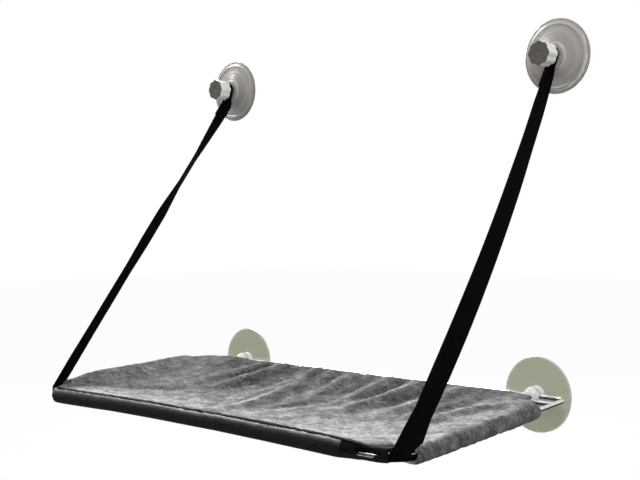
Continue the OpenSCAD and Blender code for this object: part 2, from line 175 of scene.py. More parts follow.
hang_lamp("window_lamp", place=(-1.3, 1.4, 0.95), aim=(0, -0.1, 0.0), size=0.7, power=56)
hang_lamp("left_lamp", place=(-1.25, -0.55, 1.3), aim=(0, -0.15, 0.1), size=0.6, power=18)
hang_lamp("room_lamp", place=(1.1, -0.7, 1.25), aim=(0.25, 0, 0.36), size=0.8, power=13)


# Upper suction cups: one shot of clear, slightly smoky soft PVC each, moulded round the head of the
# stud. A flat lip seals on the glass, a bevel runs inside it, and a collar rises round the stud.
stud_pocket_base = 0.0042
upper_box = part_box("upper_cup_right")
upper_rim = (upper_box[1].x - upper_box[0].x) / 2
upper_out = (upper_box[1].x + upper_box[0].x) / 2
upper_up = (upper_box[1].z + upper_box[0].z) / 2
collar_top = -upper_box[0].y
stud_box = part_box("stud_right")
stud_head_r = (stud_box[1].x - stud_box[0].x) / 2
stud_r = 0.003
stud_head_t = 0.002
both_sides = (("left", -1), ("right", 1))


def add_piece(name, add, **settings):
    """A new primitive, alone selected, with its place in its mesh."""
    bpy.ops.object.select_all(action="DESELECT")
    add(**settings)
    piece = bpy.context.active_object
    piece.name = name
    piece.data.name = name
    bpy.ops.object.transform_apply(location=True, rotation=True, scale=True)
    return piece


def pick(piece):
    """Selects one piece alone and makes it the active one."""
    bpy.ops.object.select_all(action="DESELECT")
    bpy.context.view_layer.objects.active = piece
    piece.select_set(True)


def editing(piece):
    """Goes into edit mode on one piece, with nothing in it selected."""
    pick(piece)
    bpy.ops.object.mode_set(mode="EDIT")
    bpy.ops.mesh.select_all(action="DESELECT")


def done_editing():
    """Goes back to object mode."""
    bpy.ops.object.mode_set(mode="OBJECT")


def face_outwards(piece):
    """Turns every face of a closed piece outwards."""
    editing(piece)
    bpy.ops.mesh.select_all(action="SELECT")
    bpy.ops.mesh.normals_make_consistent(inside=False)
    done_editing()


def smooth(piece, degrees):
    """Shades a piece smooth, with edges sharper than the angle left crisp."""
    pick(piece)
    bpy.ops.object.shade_smooth_by_angle(angle=math.radians(degrees))


def turned(name, centre, profile, sides=96):
    """A closed turned piece: rings of a radius and a height off the glass, from a flat cap to a pole."""
    radius, height = profile[0]
    centre = Vector(centre)
    piece = add_piece(name, bpy.ops.mesh.primitive_circle_add, vertices=sides, radius=radius,
                      fill_type="TRIFAN", location=centre - Vector((0, height, 0)),
                      rotation=(math.pi / 2, 0, 0))
    editing(piece)
    bpy.ops.mesh.select_all(action="SELECT")
    bpy.ops.mesh.region_to_loop()
    for next_radius, next_height in profile[1:]:
        bpy.ops.mesh.extrude_region_move(TRANSFORM_OT_translate={"value": (0, height - next_height, 0)})
        grow = next_radius / radius
        ring_centre = centre - Vector((0, next_height, 0))
        bpy.ops.transform.resize(value=(grow, 1, grow), center_override=ring_centre)
        radius, height = next_radius, next_height
    bpy.ops.mesh.merge(type="CENTER")
    done_editing()
    face_outwards(piece)
    return piece


def arc(centre_r, centre_h, radius, start, stop, steps):
    """Ring sizes along an arc of a profile, with angles in degrees from outwards towards the room."""
    angles = [math.radians(start + (stop - start) * k / steps) for k in range(steps + 1)]
    return [(centre_r + radius * math.cos(a), centre_h + radius * math.sin(a)) for a in angles]


lip_w = 0.004
rim_t = 0.0018
cavity = 0.001
collar_r = 0.0135
collar_wall = 0.0035
collar_edge = 0.0009
collar_dish = 0.0006
dish_slope = 0.0005
stud_seat_w = 0.0016
stud_seat_depth = 0.0010
pocket_gap = 0.0002
pole_r = 0.001
foot_w = 0.0022
fillet_r = 0.0016
dome_top = rim_t + (collar_top - rim_t) * 0.62
dome_steps = 14
dome_hollow = 1.25
ring_mark_h = 0.00012
ring_mark_every = 4

upper_profile = [(upper_rim - 2 * lip_w, cavity), (upper_rim - lip_w, 0), (upper_rim - rim_t / 2, 0)]
upper_profile += arc(upper_rim - rim_t / 2, rim_t / 2, rim_t / 2, -60, 90, 5)

# The bevel inside the rim: how far in each of its rings is, and how far above the rim
bevel = [(0.0022, 0), (0.0030, 0.0007), (0.0046, 0.0016),
         (0.0062, 0.0021), (0.0070, 0.0017), (0.0076, 0.0015)]
upper_profile += [(upper_rim - inset, rim_t + rise) for inset, rise in bevel]

# The dome, with fine moulded rings, up to the foot of the collar
dome_start, dome_end = upper_profile[-1], (collar_r + foot_w, dome_top)
for k in range(1, dome_steps + 1):
    share = k / dome_steps
    ring_mark = ring_mark_h * (k % ring_mark_every == ring_mark_every // 2)
    upper_profile.append((dome_start[0] + (dome_end[0] - dome_start[0]) * share,
                          dome_start[1] + (dome_end[1] - dome_start[1]) * share ** dome_hollow + ring_mark))

# The collar, dished round the stud, and the pocket that the stud's head fills
pocket_top = stud_pocket_base + stud_head_t + pocket_gap
upper_profile += arc(collar_r + fillet_r, dome_top + fillet_r, fillet_r, 270, 180, 4)
upper_profile += arc(collar_r - collar_edge, collar_top - collar_edge, collar_edge, 0, 90, 4)
upper_profile += [
    (collar_r - collar_wall, collar_top),
    (collar_r - collar_wall - dish_slope, collar_top - collar_dish),
    (stud_r + stud_seat_w, collar_top - collar_dish),
    (stud_r + pocket_gap, collar_top - stud_seat_depth),
    (stud_r + pocket_gap, pocket_top),
    (stud_head_r + pocket_gap, pocket_top),
    (stud_head_r + pocket_gap, stud_pocket_base - pocket_gap),
    (pole_r, stud_pocket_base - pocket_gap)
]


def new_group(name, inputs, outputs):
    """A shader node group with named sockets, and its input and output nodes."""
    group = bpy.data.node_groups.new(name, "ShaderNodeTree")
    for socket, kind, value in inputs:
        made = group.interface.new_socket(socket, in_out="INPUT", socket_type=kind)
        if value is not None:
            made.default_value = value
    for socket, kind in outputs:
        group.interface.new_socket(socket, in_out="OUTPUT", socket_type=kind)
    return group, group.nodes.new("NodeGroupInput").outputs, group.nodes.new("NodeGroupOutput").inputs


def use_group(tree, group, values):
    """Places a node group in a material, and gives its outputs."""
    return put_node(tree, "ShaderNodeGroup", values, node_tree=group).outputs


def ramp(tree, value, stops):
    """A colour ramp through places and colours."""
    made = put_node(tree, "ShaderNodeValToRGB", {0: value})
    band = made.color_ramp
    while len(band.elements) < len(stops):
        band.elements.new(0.5)
    for element, (place, colour) in zip(band.elements, stops):
        element.position = place
        element.color = (*colour, 1)
    return made.outputs["Color"]


def mix_colour(tree, share, first, second):
    """Two colours mixed by a share."""
    return put_node(tree, "ShaderNodeMix", {0: share, 6: first, 7: second}, data_type="RGBA").outputs[2]


def grain(tree, place, scale, detail, **values):
    """Noise of a scale and a detail, about one half."""
    values = {"Vector": place, "Scale": scale, "Detail": detail, **values}
    return put_node(tree, "ShaderNodeTexNoise", values).outputs[0]


# How far a point is from the axis of the nearer of two cups, which are as far out left and right
axis_group, given, gives = new_group(
    "From cup axis", [("Vector", "NodeSocketVector", None), ("Out", "NodeSocketFloat", 0.0),
                      ("Up", "NodeSocketFloat", 0.0)], [("Radius", "NodeSocketFloat")])
tree = axis_group
split = put_node(tree, "ShaderNodeSeparateXYZ", {0: given["Vector"]})
over = maths(tree, "SUBTRACT", maths(tree, "ABSOLUTE", split.outputs["X"]), given["Out"])
above = maths(tree, "SUBTRACT", split.outputs["Z"], given["Up"])
squares = maths(tree, "ADD", maths(tree, "MULTIPLY", over, over), maths(tree, "MULTIPLY", above, above))
tree.links.new(maths(tree, "SQRT", squares), gives["Radius"])

# Cloudy unevenness of moulded plastic: broad and fine noise together, about one half
cloud_group, given, gives = new_group(
    "Cloudy", [("Vector", "NodeSocketVector", None), ("Broad", "NodeSocketFloat", 60.0),
               ("Fine", "NodeSocketFloat", 400.0)], [("Value", "NodeSocketFloat")])
tree = cloud_group
broad = grain(tree, given["Vector"], given["Broad"], 3.0)
fine = grain(tree, given["Vector"], given["Fine"], 2.0)
tree.links.new(weighed(tree, (broad, 0.65), (fine, 0.35)), gives["Value"])


def clouds(tree, place, broad, fine):
    """The cloudy group's value, for a broad and a fine scale."""
    return use_group(tree, cloud_group, {"Vector": place, "Broad": broad, "Fine": fine})["Value"]


def new_material(name, **sockets):
    """A material with constants on its Principled sockets, its tree, and where the object is."""
    material = bpy.data.materials.new(name)
    material.use_nodes = True
    shader = material.node_tree.nodes["Principled BSDF"]
    for socket, value in sockets.items():
        shader.inputs[socket.replace("_", " ")].default_value = value
    where = put_node(material.node_tree, "ShaderNodeTexCoord").outputs["Object"]
    return material, material.node_tree, shader, where


def bumped(tree, shader, height, distance):
    """Bumps a shader by a height of 0 to 1 times a distance."""
    bump = put_node(tree, "ShaderNodeBump", {"Height": height, "Distance": distance})
    tree.links.new(bump.outputs[0], shader.inputs["Normal"])


def coloured(tree, shader, value, *stops):
    """Gives a shader its base colour by a ramp through places and colours."""
    tree.links.new(ramp(tree, value, stops), shader.inputs["Base Color"])


smoky_pvc, tree, shader, where = new_material(
    "smoky_pvc", Roughness=0.32, IOR=1.45, Transmission_Weight=0.12, Coat_Weight=0.2, Coat_Roughness=0.12)
from_axis = use_group(tree, axis_group, {"Vector": where, "Out": upper_out, "Up": upper_up})["Radius"]
cloud = clouds(tree, where, 45.0, 260.0)
share = maths(tree, "DIVIDE", from_axis, upper_rim)
wavy = maths(tree, "ADD", share, maths(tree, "MULTIPLY", maths(tree, "SUBTRACT", cloud, 0.5), 0.05))
# Colours by distance from the axis, with painted highlights: a bright ring at the collar's foot and a
# lighter ring on the bevel; the outer lip is darker
rings_and_highlights = ramp(tree, wavy, [
    (0.00, (0.56, 0.53, 0.50)), (0.33, (0.50, 0.47, 0.44)), (0.36, (0.74, 0.71, 0.68)),
    (0.40, (0.45, 0.42, 0.395)), (0.55, (0.41, 0.385, 0.36)), (0.68, (0.51, 0.48, 0.455)),
    (0.78, (0.45, 0.425, 0.40)), (0.82, (0.50, 0.47, 0.44)), (0.91, (0.56, 0.54, 0.51)),
    (0.93, (0.40, 0.38, 0.36)), (0.975, (0.48, 0.46, 0.44)), (1.00, (0.16, 0.15, 0.14))])
tree.links.new(mix_colour(tree, maths(tree, "MULTIPLY", cloud, 0.3), rings_and_highlights, (0.25, 0.23, 0.21, 1)),
               shader.inputs["Base Color"])
bumped(tree, shader, cloud, 0.0002)

for side_name, way in both_sides:
    cup = turned(f"upper_cup_{side_name}_pvc", (way * upper_out, 0, upper_up), upper_profile)
    smooth(cup, 40)
    cup.data.materials.append(smoky_pvc)
    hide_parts(f"upper_cup_{side_name}")
    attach(cup, "root")


# Studs, washers and inserts: zinc plated steel studs with rolled threads, plain pressed washers, and
# turned brass inserts. Their shapes are the frame's own, and only the finish is added.
thread_scale = 1000 / (2 * math.pi) / 3.18
zinc, tree, shader, where = new_material("zinc_plate", Metallic=1.0, Roughness=0.32)
cloud = clouds(tree, where, 300.0, 1500.0)
coloured(tree, shader, cloud, (0.3, (0.42, 0.43, 0.44)), (0.7, (0.60, 0.60, 0.59)))
thread = put_node(tree, "ShaderNodeTexWave", {"Vector": where, "Scale": thread_scale},
                  wave_type="BANDS", bands_direction="Y").outputs["Fac"]
bumped(tree, shader, weighed(tree, (thread, 1.0), (cloud, 0.2)), 0.0003)

brass, tree, shader, where = new_material("turned_brass", Metallic=1.0, Roughness=0.28)
cloud = clouds(tree, where, 500.0, 2500.0)
coloured(tree, shader, cloud, (0.3, (0.58, 0.42, 0.17)), (0.7, (0.76, 0.58, 0.28)))
bumped(tree, shader, cloud, 0.0001)


def finish_node(name, material):
    """Gives a piece of the frame its material."""
    node = frame["nodes"][name]
    node.data.materials.clear()
    node.data.materials.append(material)


for side_name, _ in both_sides:
    finish_node(f"stud_{side_name}", zinc)
    finish_node(f"washer_{side_name}", zinc)
    finish_node(f"knob_insert_{side_name}", brass)


# Knobs: moulded silver plastic with eight shallow lobes for grip and a small dimple in the end face, and
# with painted shade darkening that face. Each is pressed onto its brass insert and screws on the stud.
knob_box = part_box("knob_right")
knob_r = (knob_box[1].x - knob_box[0].x) / 2
knob_base = -knob_box[1].y
knob_end = -knob_box[0].y
knob_lobes = 8
lobe_depth = 0.0012
lobe_flatness = 0.6
lobe_start, lobe_fade = 0.5, 0.3
knob_edge = 0.0004
insert_r = 0.005
insert_long = 0.008
face_gap = 0.0001


def lobed(angle):
    """The share of the knob's radius that its outline has at an angle."""
    wave = (math.cos(knob_lobes * (angle - math.pi / 2)) + 1) / 2
    return 1 - lobe_depth / knob_r * (1 - wave ** lobe_flatness)


def cut_out(piece, tool):
    """Cuts a tool out of a piece, and takes the tool away."""
    cut = piece.modifiers.new("cut", "BOOLEAN")
    cut.object = tool
    cut.operation = "DIFFERENCE"
    bpy.context.view_layer.objects.active = piece
    bpy.ops.object.modifier_apply(modifier="cut")
    bpy.data.objects.remove(tool)


side_steps = 6
side_l = knob_end - knob_base - 2 * knob_edge
knob_profile = [
    (knob_r - 3 * knob_edge, knob_base), (knob_r - 0.7 * knob_edge, knob_base + 0.3 * knob_edge),
    (knob_r, knob_base + knob_edge)]
knob_profile += [(knob_r, knob_base + knob_edge + side_l * k / side_steps) for k in range(1, side_steps + 1)]
knob_profile += arc(knob_r - knob_edge, knob_end - knob_edge, knob_edge, 20, 90, 4)

# The end face and its dimple: each ring's share of the knob's radius, and its depth
end_rings = [(0.8, 0), (0.6, 0.0001), (0.3, 0.0002), (0.1, 0.0002), (0.07, 0.0006)]
knob_profile += [(knob_r * share, knob_end - depth) for share, depth in end_rings]

silver, tree, shader, where = new_material(
    "silver_side", Roughness=0.30, Coat_Weight=0.3, Coat_Roughness=0.15)
cloud = clouds(tree, where, 160.0, 900.0)
coloured(tree, shader, cloud, (0.25, (0.90, 0.885, 0.86)), (0.75, (0.98, 0.97, 0.95)))
bumped(tree, shader, cloud, 0.00025)
# The end face's darker colour is painted shade on the silver plastic, where it faces the room
shaded_end_face, tree, shader, where = new_material("painted_shade_end", Metallic=0.1, Roughness=0.42)
cloud = clouds(tree, where, 220.0, 1100.0)
coloured(tree, shader, cloud, (0.25, (0.10, 0.093, 0.082)), (0.75, (0.16, 0.15, 0.137)))
bumped(tree, shader, cloud, 0.00025)

for side_name, way in both_sides:
    axis = Vector((way * upper_out, 0, upper_up))
    knob = turned(f"knob_{side_name}_grip", axis, knob_profile, sides=128)
    for vertex in knob.data.vertices:
        across, up = vertex.co.x - axis.x, vertex.co.z - axis.z
        reach = math.hypot(across, up)
        if reach > knob_r * lobe_start:
            share = lobed(math.atan2(up, across)) ** min(1, (reach / knob_r - lobe_start) / lobe_fade)
            vertex.co.x, vertex.co.z = axis.x + across * share, axis.z + up * share
    bore = add_piece("knob_bore", bpy.ops.mesh.primitive_cylinder_add, vertices=48, radius=insert_r,
                     depth=2 * (insert_long + face_gap), location=axis - Vector((0, knob_base, 0)),
                     rotation=(math.pi / 2, 0, 0))
    cut_out(knob, bore)
    smooth(knob, 40)
    knob.data.materials.append(silver)
    knob.data.materials.append(shaded_end_face)
    # Faces at the end that look into the room take the painted shade
    for face in knob.data.polygons:
        face.material_index = int(face.normal.y < -0.4 and face.center.y < -(knob_end - 4 * knob_edge))
    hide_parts(f"knob_{side_name}")
    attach(knob, f"knob_{side_name}")


# Lower suction cups: flat discs of clear, slightly green soft PVC. A ball of the same PVC stands on
# each, bored for the rear rod and slit on top, so that the rod snaps in and turns.
lower_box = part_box("lower_cup_right")
lower_rim = (lower_box[1].x - lower_box[0].x) / 2
lower_out = (lower_box[1].x + lower_box[0].x) / 2
rod_off = 0.012
hub_r = 0.010
rod_r = 0.0025
pivot_gap = 0.00008
lower_rim_t = 0.0024
neck_r = hub_r * 0.84
neck_h = 0.0035
lower_edge = 0.0008
lower_lip_in = 0.0007
groove_in, groove_depth = 0.0022, 0.0001
disc_in = 0.003
disc_rise = 0.0013
disc_hollow = 1.5
disc_steps = 12

lower_profile = [(lower_rim - 2 * lip_w, cavity), (lower_rim - lip_w, 0), (lower_rim - lower_lip_in, 0)]
lower_profile += arc(lower_rim - lower_edge, lower_edge, lower_edge, -60, 0, 3)
lower_profile += arc(lower_rim - lower_edge, lower_rim_t - lower_edge, lower_edge, 0, 90, 3)
lower_profile += [(lower_rim - groove_in, lower_rim_t - groove_depth), (lower_rim - disc_in, lower_rim_t)]
for k in range(1, disc_steps + 1):
    share = k / disc_steps
    lower_profile.append((lower_rim - disc_in + (neck_r + foot_w - lower_rim + disc_in) * share,
                          lower_rim_t + disc_rise * share ** disc_hollow))
lower_profile += arc(neck_r + fillet_r, lower_rim_t + disc_rise + fillet_r, fillet_r, 270, 200, 3)
ball_start = math.degrees(math.asin((lower_rim_t + neck_h - rod_off) / hub_r))
lower_profile += arc(0, rod_off, hub_r, ball_start, 88, 16)

green_pvc, tree, shader, where = new_material(
    "green_pvc", Roughness=0.30, IOR=1.45, Transmission_Weight=0.5, Coat_Weight=0.4, Coat_Roughness=0.06)
from_axis = use_group(tree, axis_group, {"Vector": where, "Out": lower_out, "Up": 0.0})["Radius"]
cloud = clouds(tree, where, 55.0, 330.0)
share = maths(tree, "DIVIDE", from_axis, lower_rim)
# Colours by distance from the axis: the ball white, for its milky PVC and partly as a painted highlight, the
# disc greenish, and a painted highlight lightening the rim
rings_and_highlights = ramp(tree, share, [
    (0.00, (1.00, 1.00, 0.99)), (0.235, (0.98, 0.98, 0.97)), (0.27, (0.62, 0.63, 0.53)),
    (0.45, (0.58, 0.59, 0.46)), (0.93, (0.59, 0.60, 0.47)), (0.965, (0.66, 0.67, 0.56)),
    (1.00, (0.90, 0.90, 0.86))])
tree.links.new(mix_colour(tree, maths(tree, "MULTIPLY", cloud, 0.4), rings_and_highlights, (0.45, 0.46, 0.34, 1)),
               shader.inputs["Base Color"])
clear = put_node(tree, "ShaderNodeMapRange", {"Value": share, "From Min": 0.23, "From Max": 0.29,
                                              "To Min": 0.08, "To Max": 0.5})
tree.links.new(clear.outputs[0], shader.inputs["Transmission Weight"])
bumped(tree, shader, cloud, 0.0005)

for side_name, way in both_sides:
    centre = Vector((way * lower_out, 0, 0))
    cup = turned(f"lower_cup_{side_name}_pvc", centre, lower_profile)
    bore = add_piece("hub_bore", bpy.ops.mesh.primitive_cylinder_add, vertices=48, radius=rod_r + pivot_gap,
                     depth=3 * hub_r, location=centre - Vector((0, rod_off, 0)),
                     rotation=(0, math.pi / 2, 0))
    slit = add_piece("hub_slit", bpy.ops.mesh.primitive_cube_add, size=1,
                     location=centre + Vector((0, -rod_off, hub_r)),
                     scale=(3 * hub_r, 1.2 * rod_r, 2 * hub_r))
    cut_out(cup, bore)
    cut_out(cup, slit)
    smooth(cup, 40)
    cup.data.materials.append(green_pvc)
    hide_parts(f"lower_cup_{side_name}")
    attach(cup, "root")


# Wire frame and crossbar: 5 mm steel wire, bent to a closed loop, butt welded, and chrome plated with
# the crossbar welded in. The frame's own solids carry the shape, and the plating is added here.
chrome, tree, shader, where = new_material("chrome_plate", Metallic=1.0)
cloud = clouds(tree, where, 120.0, 1400.0)
coloured(tree, shader, cloud, (0.3, (0.60, 0.60, 0.60)), (0.7, (0.74, 0.735, 0.72)))
tree.links.new(maths(tree, "ADD", 0.12, maths(tree, "MULTIPLY", cloud, 0.12)), shader.inputs["Roughness"])
bumped(tree, shader, cloud, 0.00012)
finish_node("frame_wire", chrome)
finish_node("crossbar", chrome)


# Plush cover: one cut of short grey plush, laid over the frame with its pile up. Its rear and side
# wings wrap round the crossbar and the side rods, and their tails go in under the mat.
fold_joint = next(j for j in frame["joints"] if j["name"] == "perch_fold")
pivot = Vector(fold_joint["pos_m"])
wire_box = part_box("frame_wire")
bar_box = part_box("crossbar")
x_left, x_right = wire_box[0].x + rod_r, wire_box[1].x - rod_r
middle_x, half_w = (x_left + x_right) / 2, (x_right - x_left) / 2
lean = math.atan2(-(bar_box[0].z + bar_box[1].z) / 2, pivot.y - (bar_box[0].y + bar_box[1].y) / 2)
crossbar_in = (pivot.y - (bar_box[0].y + bar_box[1].y) / 2) / math.cos(lean)
frame_depth = (wire_box[1].y - wire_box[0].y - 2 * rod_r) / math.cos(lean)
middle_s, half_s = (crossbar_in + frame_depth) / 2, (frame_depth - crossbar_in) / 2

soft_gap = 0.0003
wrap_r = rod_r + soft_gap
sag = 0.018
ridge_h, ridge_w, ridge_back_share, ridge_end_share = 0.011, 0.040, 0.04, 0.5
loose_h, loose_r, loose_in, loose_forward, loose_slim = 0.0044, 0.042, 0.070, 0.040, 0.8
fold_depth, fold_end_share, fold_front_share = 0.0036, 0.25, 0.2
seam_w, lift_w = 0.014, 0.05
front_x0, front_x1 = x_left + 0.029, x_right - 0.048
rear_x0, rear_x1 = x_left + 0.031, x_right - 0.042
side_s0, side_s1 = 0.058, frame_depth - 0.034
front_corner_share, rear_corner_share = 0.75, 0.65
closure_drop = 0.0042
tail_w = 0.030
plush_t = 0.0056
plush_r = wrap_r + plush_t / 2


def on_perch(x, s, z):
    """Where in the room points lie that are given across, forwards and up on the perch's own plane."""
    x, s, z = np.broadcast_arrays(x, s, z)
    return np.stack([x, pivot.y - s * math.cos(lean) - z * math.sin(lean),
                     pivot.z - s * math.sin(lean) + z * math.cos(lean)], axis=-1)


def bump_of(t):
    """A smooth bump: 1 at 0, and 0 from 1 on."""
    return np.where(np.abs(t) < 1, (1 + np.cos(np.pi * np.clip(t, -1, 1))) / 2, 0)


def base_z(x, s):
    """Underside of the mat, which sags between the rods."""
    u = np.minimum(1, np.abs(x - middle_x) / half_w)
    v = np.minimum(1, np.abs(s - middle_s) / half_s)
    return wrap_r - sag * (1 - u ** 2.5) * (1 - v ** 2)


def ridge_z(x, s):
    """Extra height of the loose plush over the left side rod."""
    climb = ridge_back_share + (1 - ridge_back_share) * s / frame_depth
    close = 1 - (1 - ridge_end_share) * bump_of((s - side_s1) / ridge_w)
    loose = loose_h * bump_of(np.hypot((x - x_left - loose_in) * loose_slim, s - loose_forward) / loose_r)
    return ridge_h * climb * close * bump_of((x - x_left) / ridge_w) + loose


# How far the sewn front edge rides up over its rod, at places right of the left rod
lift_places = [0, 0.033, 0.135, 0.205, 0.315, 0.390, 0.455, 0.515, 0.562]
lifts = [0.0020, 0.0022, 0.0038, 0.0045, 0.0045, 0.0040, 0.0030, 0.0010, 0.0005]


def lift_z(x):
    """Height of the sewn front edge over its rod."""
    return np.interp(x - x_left, lift_places, lifts)


def mat_z(x, s):
    """Underside of the plush with its ridge and its folds, which fade out at the front edge."""
    fade = 1 - (1 - fold_front_share) * bump_of((s - frame_depth) / seam_w)
    lift = lift_z(x) * bump_of((s - frame_depth) / lift_w)
    return base_z(x, s) + ridge_z(x, s) + fold_z(x, s) * fade + lift


def drawn(x, s, edge=0.0):
    """Places of the mat, drawn in towards its middle where they lie in a corner."""
    front = s > side_s1
    x0, x1 = np.where(front, front_x0, rear_x0), np.where(front, front_x1, rear_x1)
    inner_x, inner_s = np.clip(x, x0, x1), np.clip(s, side_s0, side_s1)
    u = (inner_x - x) / (np.where(x < x0, x0 - x_left, x_right - x1) - edge)
    v = (inner_s - s) / (np.where(s < side_s0, side_s0 - crossbar_in, frame_depth - side_s1) - edge)
    share = np.clip(np.abs(u * v), 0, 1) * np.where(front, front_corner_share, rear_corner_share)
    return x + (inner_x - x) * share, s + (inner_s - s) * share


# Folds of the plush: the line that each follows across and forwards, its half width and its height
folds = [
    ([(-0.181, 0.112), (-0.171, 0.069), (-0.158, 0.046), (-0.150, 0.018)], 0.0189, 0.0042),
    ([(-0.168, 0.100), (-0.158, 0.072), (-0.144, 0.040), (-0.138, 0.022)], 0.0135, -0.0026),
    ([(-0.150, 0.118), (-0.142, 0.087), (-0.137, 0.067), (-0.125, 0.042), (-0.116, 0.018)], 0.01755, 0.0046),
    ([(-0.134, 0.124), (-0.124, 0.092), (-0.112, 0.066), (-0.102, 0.040)], 0.0162, -0.0038),
    ([(-0.112, 0.130), (-0.100, 0.090), (-0.088, 0.050), (-0.084, 0.026)], 0.01755, -0.0036),
    ([(-0.052, 0.232), (-0.054, 0.177), (-0.051, 0.147), (-0.054, 0.110), (-0.060, 0.070), (-0.064, 0.018)],
     0.02025, 0.0052),
    ([(-0.072, 0.236), (-0.068, 0.205), (-0.067, 0.177), (-0.064, 0.147), (-0.067, 0.118), (-0.067, 0.094),
      (-0.073, 0.057), (-0.078, 0.022)], 0.0055, -0.0036),
    ([(-0.022, 0.165), (-0.006, 0.137), (0.006, 0.120), (0.026, 0.104)], 0.01485, -0.0030),
    ([(-0.032, 0.104), (-0.024, 0.070), (-0.026, 0.024)], 0.01755, -0.0026),
    ([(-0.008, 0.096), (-0.004, 0.060), (0.000, 0.018)], 0.01755, 0.0034),
    ([(0.018, 0.094), (0.026, 0.060), (0.034, 0.022)], 0.01485, -0.0028),
    ([(0.044, 0.110), (0.050, 0.070), (0.058, 0.018)], 0.0162, 0.0032),
    ([(0.068, 0.092), (0.074, 0.060), (0.080, 0.024)], 0.01215, -0.0040),
    ([(0.062, 0.150), (0.072, 0.112), (0.084, 0.074), (0.104, 0.024)], 0.01755, 0.0044),
    ([(0.098, 0.124), (0.110, 0.084), (0.132, 0.030)], 0.0162, -0.0036),
    ([(0.126, 0.134), (0.140, 0.090), (0.162, 0.030)], 0.0189, 0.0038),
    ([(0.174, 0.144), (0.188, 0.100), (0.206, 0.046)], 0.01755, -0.0032),
    ([(0.194, 0.175), (0.204, 0.122), (0.222, 0.088), (0.258, 0.060)], 0.0189, 0.0038),
    ([(-0.240, 0.215), (-0.205, 0.178), (-0.160, 0.150)], 0.0216, -0.0020),
    ([(-0.200, 0.226), (-0.120, 0.216), (-0.060, 0.214)], 0.0216, 0.0016),
    ([(-0.010, 0.236), (0.060, 0.228), (0.130, 0.236)], 0.0162, -0.0022)
]


def fold_z(x, s):
    """Height of all the folds at points of the mat."""
    here = np.stack([x, s], axis=-1)
    total = np.zeros(x.shape)
    for line, width, height in folds:
        line = np.array(line)
        lengths = np.linalg.norm(np.diff(line, axis=0), axis=1)
        starts = np.concatenate([[0], np.cumsum(lengths)])
        nearest = np.full(x.shape, np.inf)
        along = np.zeros(x.shape)
        for a, b, start, length in zip(line[:-1], line[1:], starts, lengths):
            run = (b - a) / length
            t = np.clip((here - a) @ run, 0, length)
            off = np.linalg.norm(here - a - t[..., None] * run, axis=-1)
            closer = off < nearest
            nearest = np.where(closer, off, nearest)
            along = np.where(closer, (start + t) / starts[-1], along)
        fade = fold_end_share + (1 - fold_end_share) * np.sin(np.pi * np.clip(along, 0, 1))
        total += height * bump_of(nearest / width) * fade
    return np.maximum(total, -fold_depth)


def rumple(points, size, seed):
    """Smooth uneven heights, about -1 to 1, with waves of a size."""
    return np.array([noise.noise(Vector((p[0] / size + seed, p[1] / size, seed))) for p in points])


def wing(away, radius, extra, base_in):
    """Where a wing lies at a distance from the top of its rod: inwards from the rod, and up."""
    half_turn = math.pi * radius
    angle = math.pi / 2 + np.minimum(away, half_turn) / radius
    inward = radius * np.cos(angle) + np.maximum(0, away - half_turn)
    lift = (radius + extra * (angle < math.pi)) * np.sin(angle)
    under = np.minimum(-radius, base_in - closure_drop - radius + wrap_r)
    return inward, np.where(away > half_turn, under, lift)


def lines(spacing, *keys):
    """Places of threads: one on each key place, and the others evenly between them."""
    parts = [np.linspace(a, b, max(1, round((b - a) / spacing)) + 1)[:-1]
             for a, b in zip(keys[:-1], keys[1:])]
    return np.concatenate([*parts, keys[-1:]])


def place_all(piece, points):
    """Moves every point of a piece."""
    piece.data.vertices.foreach_set("co", np.asarray(points, np.float32).ravel())
    piece.data.update()


def flat_grid(name, xs, ys):
    """A flat cut of cloth with its threads at given places across and forwards."""
    piece = add_piece(name, bpy.ops.mesh.primitive_grid_add, x_subdivisions=len(xs) - 1,
                      y_subdivisions=len(ys) - 1, size=1, calc_uvs=True)
    flat = np.array([v.co for v in piece.data.vertices]) + 0.5
    columns = np.rint(flat[:, 0] * (len(xs) - 1)).astype(int)
    rows = np.rint(flat[:, 1] * (len(ys) - 1)).astype(int)
    place_all(piece, np.stack([xs[columns], ys[rows], np.zeros(len(flat))], 1))
    return piece


def flat_places(piece):
    """Where each point of a flat cut lies, across and forwards."""
    flat = np.array([v.co for v in piece.data.vertices])
    return flat[:, 0], flat[:, 1]


def cut_away(piece, test):
    """Deletes the faces of a flat cut whose middle passes a test, with the others deselected first."""
    editing(piece)
    done_editing()
    for face in piece.data.polygons:
        face.select = bool(test(face.center.x, face.center.y))
    bpy.ops.object.mode_set(mode="EDIT")
    bpy.ops.mesh.select_mode(type="FACE")
    bpy.ops.mesh.delete(type="FACE")
    bpy.ops.mesh.select_mode(type="VERT")
    done_editing()


def thicken(piece, thickness, levels=0, offset=0.0):
    """Gives a sheet its thickness and rounds it by subdivision, with both applied."""
    pick(piece)
    solid = piece.modifiers.new("thickness", "SOLIDIFY")
    solid.thickness = thickness
    solid.offset = offset
    bpy.ops.object.modifier_apply(modifier="thickness")
    if levels:
        rounded = piece.modifiers.new("rounding", "SUBSURF")
        rounded.levels = rounded.render_levels = levels
        bpy.ops.object.modifier_apply(modifier="rounding")


plush_turn = math.pi * plush_r
plush_wing = plush_turn + tail_w
plush_step = 0.0043
wing_end = side_s1 + 0.016
cover = flat_grid("plush_cover",
                  lines(plush_step, x_left - plush_wing, x_left, front_x0, rear_x0, front_x1, rear_x1,
                        x_right, x_right + plush_wing),
                  lines(plush_step, crossbar_in - plush_wing, crossbar_in, side_s0, side_s1, wing_end,
                        frame_depth))


def notched(x, s):
    """True in the notches between the wings of the cut."""
    return ((s < crossbar_in and not rear_x0 < x < rear_x1)
            or (not x_left < x < x_right and not side_s0 < s < wing_end))


cut_away(cover, notched)

